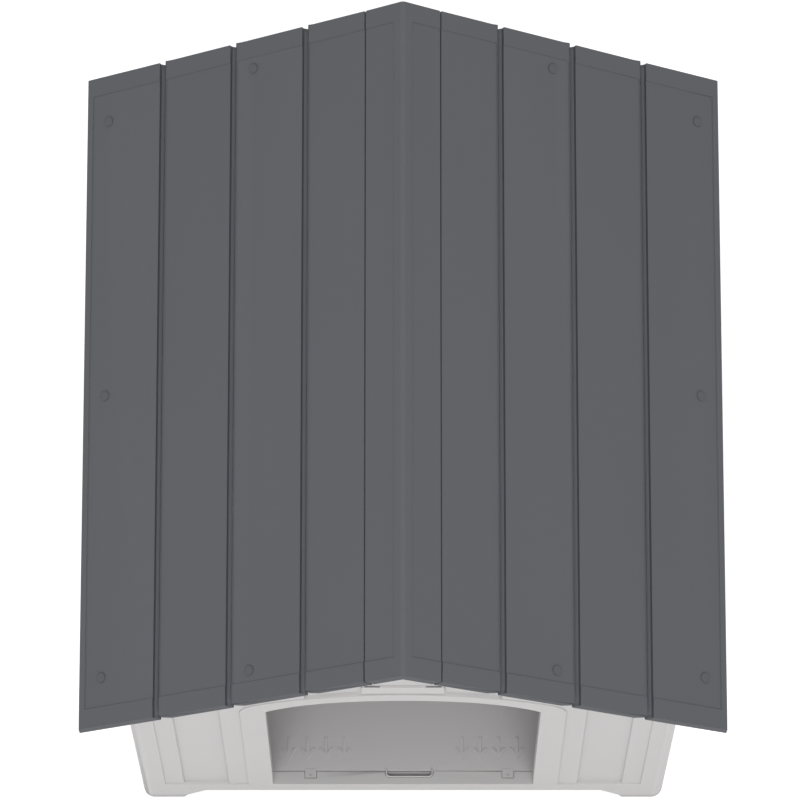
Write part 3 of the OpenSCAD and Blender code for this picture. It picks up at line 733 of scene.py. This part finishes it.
def pin_mesh(pins):
    """One roof pin with its head resting on z = 0, turned from a profile."""
    head_r = pins.head_d / 2
    shank_r = pins.shank_d / 2
    edge = pins.head_h / 2
    corners = [
        (0.0, pins.head_h, 0.0, 0),
        (head_r - edge, pins.head_h, edge, 3),
        (head_r, pins.head_h - edge, edge / 2, 2),
        (head_r, 0.0, 0.0, 0),
        (shank_r, 0.0, 0.0, 0),
        (shank_r, edge - pins.shank_len, edge, 2),
        (0.0, -pins.shank_len, 0.0, 0),
    ]
    bm = bmesh.new()
    verts = [bm.verts.new((p.x, 0.0, p.y)) for p in rounded_outline(corners)]
    edges = [bm.edges.new(pair) for pair in zip(verts, verts[1:])]
    bmesh.ops.spin(
        bm,
        geom=verts + edges,
        axis=(0, 0, 1),
        cent=(0, 0, 0),
        angle=math.tau,
        steps=32,
        use_merge=True,
    )
    bmesh.ops.remove_doubles(bm, verts=bm.verts, dist=WELD_DIST)
    bmesh.ops.recalc_face_normals(bm, faces=bm.faces)
    return bm


class DOGHOUSE_OT_roof_pins(bpy.types.Operator):
    """Make the pins that hold the roof to the walls"""

    bl_idname = "doghouse.roof_pins"
    bl_label = "Roof pins"

    def execute(self, context):
        roof = context.scene.doghouse_roof
        pins = context.scene.doghouse_pins
        eave_x = roof.half_w - pins.eave_in
        eave_y = roof.half_l - pins.eave_end
        eave_places = [(eave_x, y) for y in (-eave_y, 0.0, eave_y)]
        gable_places = [(pins.gable_x, y) for y in (-pins.gable_y, pins.gable_y)]
        for name, places in (("eave_pins", eave_places), ("gable_pins", gable_places)):
            whole = bmesh.new()
            for x, y in places:
                for side in (-1, 1):
                    self.add_pin(whole, roof, pins, side * x, y)
            add_piece(whole, name + "_heads", HOUSE, pin_plastic(), [name])
        return {"FINISHED"}

    def add_pin(self, whole, roof, pins, x, y):
        """Adds one pin, square to the roof, to the group's bmesh."""
        tilt = math.atan2(roof.rise, roof.half_w) * math.copysign(1.0, x)
        height = roof_height(roof, abs(x)) - roof.sheet_drop
        pin = pin_mesh(pins)
        place = Matrix.Translation((x, y, height)) @ Matrix.Rotation(tilt, 4, "Y")
        bmesh.ops.transform(pin, matrix=place, verts=pin.verts)
        part = bpy.data.meshes.new("pin")
        pin.to_mesh(part)
        pin.free()
        whole.from_mesh(part)
        bpy.data.meshes.remove(part)


class DOGHOUSE_OT_walls(bpy.types.Operator):
    """Make the four walls with softened edges"""

    bl_idname = "doghouse.walls"
    bl_label = "Walls"

    def execute(self, context):
        walls = context.scene.doghouse_walls
        for node in ("front_wall", "back_wall", "left_wall", "right_wall"):
            bm = rounded_copy(node, walls.edge_r, walls.shortest)
            add_piece(bm, node + "_moulding", HOUSE, wall_plastic(), [node])
        return {"FINISHED"}


class DOGHOUSE_OT_plate(bpy.types.Operator):
    """Make the plain plate over the doorway"""

    bl_idname = "doghouse.plate"
    bl_label = "Plain plate"

    def execute(self, context):
        bm = rounded_copy("blank_plate", PLATE_EDGE_R, PLATE_SHORTEST)
        add_piece(bm, "plain_plate", HOUSE, wall_plastic(), ["blank_plate"])
        return {"FINISHED"}


class DOGHOUSE_OT_screws(bpy.types.Operator):
    """Make the screws of the corner joints and the ridge joint"""

    bl_idname = "doghouse.screws"
    bl_label = "Screws"

    def execute(self, context):
        steel = screw_steel()
        for node in ("corner_screws", "cap_screws"):
            bm = rounded_copy(node, SCREW_EDGE_R, 0.0)
            add_piece(bm, node + "_plated", HOUSE, steel, [node])
        return {"FINISHED"}


def box_mesh(low, high):
    """A plain box between two corners, as a bmesh to shape further."""
    bm = bmesh.new()
    bmesh.ops.create_cube(bm, size=1.0)
    size = Vector(high) - Vector(low)
    middle = (Vector(high) + Vector(low)) / 2
    bmesh.ops.scale(bm, vec=size, verts=bm.verts)
    bmesh.ops.translate(bm, vec=middle, verts=bm.verts)
    return bm


def cut_plane(bm, place, normal):
    """Cuts all faces of a bmesh along a plane, without removing anything."""
    geom = bm.verts[:] + bm.edges[:] + bm.faces[:]
    bmesh.ops.bisect_plane(bm, geom=geom, plane_co=place, plane_no=normal, dist=WELD_DIST)


class DOGHOUSE_OT_floor_board(bpy.types.Operator):
    """Make the floor panel with the channels on its underside"""

    bl_idname = "doghouse.floor_board"
    bl_label = "Floor panel"

    def execute(self, context):
        floor = context.scene.doghouse_floor
        low_z = floor.top_z - floor.thickness
        front_y = -floor.half_l - 0.5 * floor.seam_gap
        bm = box_mesh(
            (-floor.half_w, front_y, low_z), (floor.half_w, floor.half_l, floor.top_z)
        )
        bevel(bm, bm.edges[:], floor.edge_r)
        self.sink_channels(bm, floor, low_z)
        bmesh.ops.recalc_face_normals(bm, faces=bm.faces)
        add_piece(bm, "floor_board", FLOOR, floor_plastic(), ["floor_panel"])
        return {"FINISHED"}

    def sink_channels(self, bm, floor, low_z):
        """Cuts the channels into the underside and rounds their ends."""
        end_x = floor.half_w - floor.rim
        span = 2 * (floor.half_l - floor.rim) - floor.channel_w
        pitch = span / (floor.channel_n - 1)
        middles = [-span / 2 + i * pitch for i in range(floor.channel_n)]
        for side in (-1, 1):
            cut_plane(bm, (side * end_x, 0, 0), (1, 0, 0))
        for y in middles:
            for side in (-1, 1):
                cut_plane(bm, (0, y + side * floor.channel_w / 2, 0), (0, 1, 0))
        bottoms = [
            face
            for face in bm.faces
            if face.normal.z < -LEVEL_NORMAL
            and abs(face.calc_center_median().x) < end_x / 2
            and any(
                abs(face.calc_center_median().y - y) < floor.channel_w / 4 for y in middles
            )
            and abs(face.calc_center_median().z - low_z) < LEVEL_DIST
        ]
        made = bmesh.ops.extrude_discrete_faces(bm, faces=bottoms)["faces"]
        raised = sorted({v for face in made for v in face.verts}, key=lambda v: v.index)
        bmesh.ops.translate(bm, vec=(0, 0, floor.channel_d), verts=raised)
        corners = [
            edge
            for edge in bm.edges
            if abs(abs(edge.verts[0].co.x) - end_x) < WELD_DIST
            and abs(abs(edge.verts[1].co.x) - end_x) < WELD_DIST
            and abs(edge.verts[0].co.z - edge.verts[1].co.z) > floor.channel_d / 2
            and max(edge.verts[0].co.z, edge.verts[1].co.z) < floor.top_z - floor.edge_r
        ]
        bevel(bm, corners, CHANNEL_END_SHARE * floor.channel_w, 6)


class DOGHOUSE_OT_pull_loop(bpy.types.Operator):
    """Make the pull loop at the front edge of the floor"""

    bl_idname = "doghouse.pull_loop"
    bl_label = "Pull loop"

    def execute(self, context):
        floor = context.scene.doghouse_floor
        bm = self.sweep(floor)
        bmesh.ops.recalc_face_normals(bm, faces=bm.faces)
        add_piece(bm, "pull_loop", FLOOR, floor_plastic(), ["floor_panel"])
        return {"FINISHED"}

    def sweep(self, floor):
        """Sweeps the oval section of the bead along the U of the loop."""
        bm = bmesh.new()
        made = bmesh.ops.create_circle(bm, segments=16, radius=floor.bead_w / 2, cap_ends=True)
        tall = (floor.bead_h + floor.bead_d) / floor.bead_w
        turn = Matrix.Rotation(math.pi / 2, 4, "X")
        bmesh.ops.transform(
            bm, matrix=Matrix.Diagonal((1, 1, tall, 1)) @ turn, verts=made["verts"]
        )
        side_x = floor.loop_w / 2 - floor.bead_w / 2
        back_y = -floor.half_l + floor.bead_back
        corner_y = -floor.half_l - floor.seam_gap - floor.loop_out + floor.loop_r
        mid_z = floor.top_z + (floor.bead_h - floor.bead_d) / 2
        start = (floor.pull_x - side_x, back_y, mid_z)
        bmesh.ops.translate(bm, vec=start, verts=made["verts"])
        path_r = floor.loop_r - floor.bead_w / 2
        cap = bm.faces[:]
        cap = self.straight(bm, cap, (0, corner_y - back_y, 0), keep_start=True)
        left = (floor.pull_x - side_x + path_r, corner_y, mid_z)
        cap = self.corner(bm, cap, left)
        cap = self.straight(bm, cap, (2 * (side_x - path_r), 0, 0))
        right = (floor.pull_x + side_x - path_r, corner_y, mid_z)
        cap = self.corner(bm, cap, right)
        self.straight(bm, cap, (0, back_y - corner_y, 0))
        return bm

    def straight(self, bm, cap, step, keep_start=False):
        """Extrudes the end face of the bead by a step and gives the new end.

        keep_start leaves the old face in place, where it closes the start of the bead.
        """
        made = bmesh.ops.extrude_face_region(bm, geom=cap)["geom"]
        faces = [item for item in made if isinstance(item, bmesh.types.BMFace)]
        verts = [item for item in made if isinstance(item, bmesh.types.BMVert)]
        bmesh.ops.translate(bm, vec=step, verts=verts)
        if not keep_start:
            bmesh.ops.delete(bm, geom=cap, context="FACES_ONLY")
        return faces

    def corner(self, bm, cap, centre):
        """Spins the end face of the bead round a corner and gives the new end."""
        made = bmesh.ops.spin(
            bm, geom=cap, cent=centre, axis=(0, 0, 1), angle=math.pi / 2, steps=6
        )["geom_last"]
        bmesh.ops.delete(bm, geom=cap, context="FACES_ONLY")
        return [item for item in made if isinstance(item, bmesh.types.BMFace)]


class DOGHOUSE_OT_floor_tabs(bpy.types.Operator):
    """Make the two tabs at the front edge of the floor"""

    bl_idname = "doghouse.floor_tabs"
    bl_label = "Floor tabs"

    def execute(self, context):
        floor = context.scene.doghouse_floor
        for side, name in ((-1, "floor_tab_left"), (1, "floor_tab_right")):
            bm = self.tab(floor, floor.pull_x + side * floor.tab_span / 2)
            add_piece(bm, name, FLOOR, floor_plastic(), ["floor_panel"])
        return {"FINISHED"}

    def tab(self, floor, x):
        """One tab with its dimple."""
        back_y = -floor.half_l + floor.tab_back
        front_y = -floor.half_l - floor.seam_gap - floor.tab_out
        low = (x - floor.tab_w / 2, front_y, floor.top_z - floor.tab_t)
        high = (x + floor.tab_w / 2, back_y, floor.top_z + floor.tab_h)
        bm = box_mesh(low, high)
        top = [face for face in bm.faces if face.normal.z > LEVEL_NORMAL]
        bmesh.ops.inset_region(bm, faces=top, thickness=floor.tab_w / 2 - floor.dimple_d / 2)
        rim = top[0].edges[:]
        middle = Vector((x, front_y + floor.tab_out / 2, high[2]))
        for vert in top[0].verts:
            away = (vert.co - middle).to_2d()
            sign = Vector((math.copysign(1.0, away.x), math.copysign(1.0, away.y)))
            vert.co.xy = middle.xy + sign * floor.dimple_d / 2
        made = bmesh.ops.extrude_face_region(bm, geom=top)["geom"]
        verts = [item for item in made if isinstance(item, bmesh.types.BMVert)]
        bmesh.ops.translate(bm, vec=(0, 0, -floor.dimple_h), verts=verts)
        bmesh.ops.delete(bm, geom=top, context="FACES_ONLY")
        bmesh.ops.recalc_face_normals(bm, faces=bm.faces)
        bevel(bm, [e for e in sharp_edges(bm) if e not in rim], TAB_EDGE_R, 2)
        return bm


class DOGHOUSE_OT_arrows(bpy.types.Operator):
    """Make the raised arrows on the floor"""

    bl_idname = "doghouse.arrows"
    bl_label = "Floor arrows"

    def execute(self, context):
        floor = context.scene.doghouse_floor
        bm = bmesh.new()
        for side in (-1, 1):
            for i in range(floor.arrow_n):
                shift = (i - (floor.arrow_n - 1) / 2) * floor.arrow_pitch
                self.add_arrow(bm, floor, side * floor.arrow_x + shift)
        bmesh.ops.recalc_face_normals(bm, faces=bm.faces)
        tops = [e for e in sharp_edges(bm) if min(v.co.z for v in e.verts) > floor.top_z]
        bevel(bm, tops, ARROW_EDGE_R, 2)
        add_piece(bm, "floor_arrows", FLOOR, floor_plastic(), ["floor_panel"])
        return {"FINISHED"}

    def add_arrow(self, bm, floor, x):
        """Adds one arrow that points to the doorway."""
        half = floor.arrow_w / 2
        line = floor.arrow_line / 2
        rise = floor.arrow_line / math.sin(math.atan2(half, floor.arrow_head))
        tail_y = floor.arrow_len
        wing_y = floor.arrow_head + rise / 2
        notch_y = rise + line * floor.arrow_head / half
        right = [
            (half, floor.arrow_head),
            (half, wing_y),
            (half - line, wing_y),
            (line, notch_y),
            (line, tail_y),
        ]
        left = [(-px, py) for px, py in reversed(right)]
        low_z = floor.top_z - floor.arrow_h
        tip_y = -floor.half_l + floor.arrow_in
        outline = [(0.0, 0.0)] + right + left
        verts = [bm.verts.new((x + px, tip_y + py, low_z)) for px, py in outline]
        face = bm.faces.new(verts)
        made = bmesh.ops.extrude_face_region(bm, geom=[face])["geom"]
        tops = [item for item in made if isinstance(item, bmesh.types.BMVert)]
        bmesh.ops.translate(bm, vec=(0, 0, 2 * floor.arrow_h), verts=tops)


def white_for_rays(tree):
    """1 for rays that should see plain white: camera, glossy and transmission rays."""
    path = tree.nodes.new("ShaderNodeLightPath")
    seen = math_node(
        tree, "MAXIMUM", path.outputs["Is Camera Ray"], path.outputs["Is Glossy Ray"]
    )
    return math_node(tree, "MAXIMUM", seen, path.outputs["Is Transmission Ray"])


class DOGHOUSE_OT_stage(bpy.types.Operator):
    """Make the camera, the lights, the sky and the white ground"""

    bl_idname = "doghouse.stage"
    bl_label = "Stage"

    def execute(self, context):
        stage = context.scene.doghouse_stage
        context.scene.view_settings.view_transform = "Standard"
        self.add_camera(context, stage)
        self.add_sky(context, stage)
        self.add_ground(context, stage)
        for name, (place, power) in SOFTBOXES.items():
            self.add_lamp(context, name, place, power)
        return {"FINISHED"}

    def add_camera(self, context, stage):
        """The camera at the photographed angle."""
        data = bpy.data.cameras.new("camera")
        data.sensor_width = SENSOR_W
        data.lens = stage.focal
        data.shift_x = stage.shift_x
        data.clip_end = CLIP_END
        camera = bpy.data.objects.new("camera", data)
        camera.location = (0.0, stage.camera_y, stage.camera_z)
        camera.rotation_euler = (math.pi / 2 - stage.elevation, 0.0, 0.0)
        context.scene.collection.objects.link(camera)
        context.scene.camera = camera

    def add_sky(self, context, stage):
        """An even white sky, plain white where the camera or a reflection sees it."""
        world = bpy.data.worlds.new("sky")
        world.use_nodes = True
        context.scene.world = world
        tree = world.node_tree
        light = tree.nodes["Background"]
        light.inputs["Color"].default_value = WHITE
        light.inputs["Strength"].default_value = stage.sky
        seen = tree.nodes.new("ShaderNodeBackground")
        seen.inputs["Color"].default_value = WHITE
        seen.inputs["Strength"].default_value = 1.0
        mix = tree.nodes.new("ShaderNodeMixShader")
        tree.links.new(white_for_rays(tree), mix.inputs[0])
        tree.links.new(light.outputs[0], mix.inputs[1])
        tree.links.new(seen.outputs[0], mix.inputs[2])
        tree.links.new(mix.outputs[0], tree.nodes["World Output"].inputs["Surface"])

    def add_ground(self, context, stage):
        """A round white ground that keeps a faint shadow."""
        bm = bmesh.new()
        bmesh.ops.create_circle(bm, segments=96, radius=stage.ground_r, cap_ends=True)
        mesh = bpy.data.meshes.new("ground")
        bm.to_mesh(mesh)
        bm.free()
        material = bpy.data.materials.new("ground_white")
        material.use_nodes = True
        tree = material.node_tree
        tree.nodes.remove(tree.nodes["Principled BSDF"])
        matt = tree.nodes.new("ShaderNodeBsdfDiffuse")
        matt.inputs["Color"].default_value = GROUND_COLOUR
        glow = tree.nodes.new("ShaderNodeEmission")
        glow.inputs["Color"].default_value = WHITE
        lift = math_node(tree, "MULTIPLY", white_for_rays(tree), GROUND_LIFT)
        tree.links.new(lift, glow.inputs["Strength"])
        both = tree.nodes.new("ShaderNodeAddShader")
        tree.links.new(matt.outputs[0], both.inputs[0])
        tree.links.new(glow.outputs[0], both.inputs[1])
        tree.links.new(both.outputs[0], tree.nodes["Material Output"].inputs["Surface"])
        mesh.materials.append(material)
        ground = bpy.data.objects.new("ground", mesh)
        context.scene.collection.objects.link(ground)

    def add_lamp(self, context, name, place, power):
        """A square softbox that faces the middle of the house."""
        data = bpy.data.lights.new(name, "AREA")
        data.size = SOFTBOX_SIZE
        data.energy = power
        lamp = bpy.data.objects.new(name, data)
        lamp.location = place
        aim = Vector(SOFTBOX_AIM) - Vector(place)
        lamp.rotation_euler = aim.to_track_quat("-Z", "Y").to_euler()
        context.scene.collection.objects.link(lamp)


OPERATORS = (
    DOGHOUSE_OT_roof_panels,
    DOGHOUSE_OT_ridge_cap,
    DOGHOUSE_OT_roof_pins,
    DOGHOUSE_OT_walls,
    DOGHOUSE_OT_plate,
    DOGHOUSE_OT_screws,
    DOGHOUSE_OT_floor_board,
    DOGHOUSE_OT_pull_loop,
    DOGHOUSE_OT_floor_tabs,
    DOGHOUSE_OT_arrows,
    DOGHOUSE_OT_stage,
)


class DOGHOUSE_PT_panel(bpy.types.Panel):
    """Lists the pieces of the dog house in the sidebar"""

    bl_label = "Dog house"
    bl_idname = "DOGHOUSE_PT_panel"
    bl_space_type = "VIEW_3D"
    bl_region_type = "UI"
    bl_category = "Dog house"

    def draw(self, context):
        column = self.layout.column(align=True)
        for operator in OPERATORS:
            column.operator(operator.bl_idname)


def register():
    """Registers the settings, the operators and the panel."""
    for name, group in SETTINGS.items():
        bpy.utils.register_class(group)
        setattr(bpy.types.Scene, name, PointerProperty(type=group))
    for operator in OPERATORS:
        bpy.utils.register_class(operator)
    bpy.utils.register_class(DOGHOUSE_PT_panel)


def unregister():
    """Removes the panel, the operators and the settings."""
    bpy.utils.unregister_class(DOGHOUSE_PT_panel)
    for operator in reversed(OPERATORS):
        bpy.utils.unregister_class(operator)
    for name, group in SETTINGS.items():
        delattr(bpy.types.Scene, name)
        bpy.utils.unregister_class(group)


def main():
    """Builds the dog house piece by piece."""
    register()
    bpy.ops.doghouse.roof_panels()
    bpy.ops.doghouse.ridge_cap()
    bpy.ops.doghouse.roof_pins()
    bpy.ops.doghouse.walls()
    bpy.ops.doghouse.plate()
    bpy.ops.doghouse.screws()
    bpy.ops.doghouse.floor_board()
    bpy.ops.doghouse.pull_loop()
    bpy.ops.doghouse.floor_tabs()
    bpy.ops.doghouse.arrows()
    bpy.ops.doghouse.stage()


if __name__ == "__main__":
    main()
